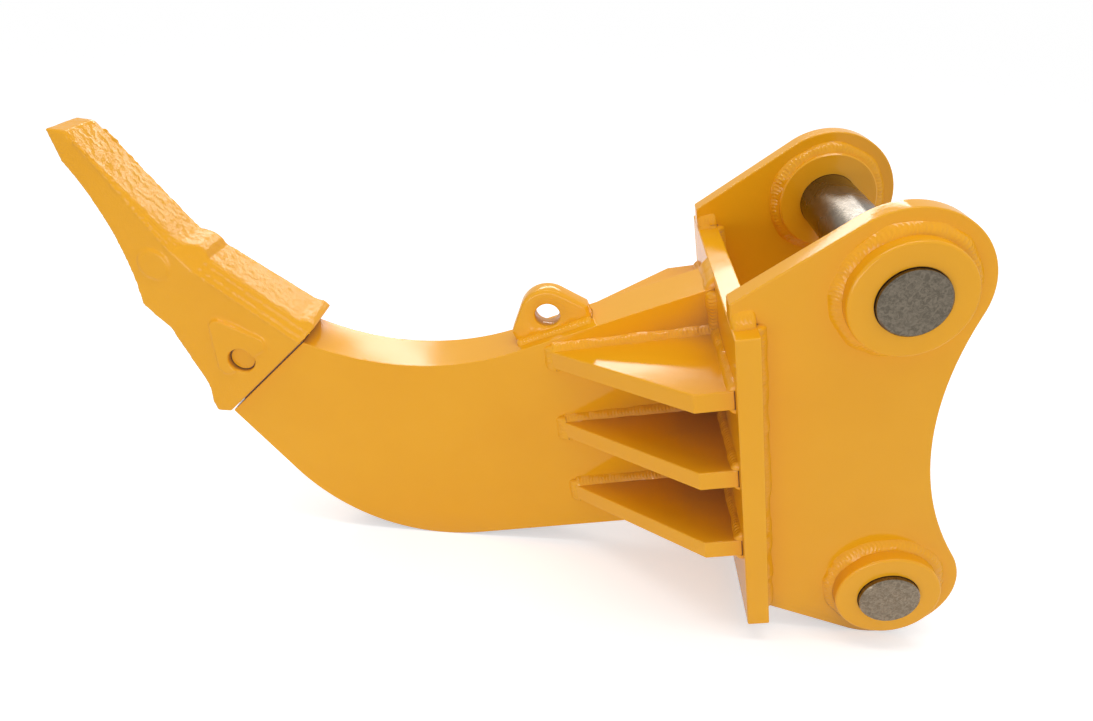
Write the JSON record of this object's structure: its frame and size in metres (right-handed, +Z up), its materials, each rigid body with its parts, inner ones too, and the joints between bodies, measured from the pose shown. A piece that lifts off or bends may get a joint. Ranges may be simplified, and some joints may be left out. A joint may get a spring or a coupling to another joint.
{
  "type": "ripper shank",
  "caption": "Curved ripper shank with a pinned cast tooth, a lifting eye, side gussets and a mount plate with pin-coupling ears for an excavator.",
  "frame": {"origin": "on level ground under the middle of the bounding box, with the ripper lying on its belly curve and on the lower lobes of its two ears", "axes": "X from the tooth (-X) to the ears (+X), Y across the ripper along the pins, Z up"},
  "size_m": [1.2444, 0.429, 0.6431],
  "materials": {
    "paint": "glossy yellow enamel on welded steel plate",
    "cast_paint": "glossy yellow enamel on rough cast steel",
    "pin_steel": "turned alloy steel, oiled",
    "zinc_steel": "zinc-plated steel"
  },
  "bodies": {
    "root": {"shank": "paint", "ripper_tooth": "cast_paint", "tooth_pin": "cast_paint", "tooth_pin_retainer": "zinc_steel", "lifting_eye": "paint", "mount_plate": "paint", "near_ear": "paint", "far_ear": "paint", "near_upper_boss": "paint", "near_lower_boss": "paint", "far_upper_boss": "paint", "far_lower_boss": "paint", "near_upper_gusset": "paint", "near_middle_gusset": "paint", "near_lower_gusset": "paint", "far_upper_gusset": "paint", "far_middle_gusset": "paint", "far_lower_gusset": "paint", "upper_pin": "pin_steel", "lower_pin": "pin_steel", "upper_lock_bolt": "zinc_steel", "upper_lock_nuts": "zinc_steel", "lower_lock_bolt": "zinc_steel", "lower_lock_nuts": "zinc_steel", "boss_welds": "paint", "ear_welds": "paint", "root_welds": "paint", "eye_welds": "paint"}
  },
  "joints": []
}
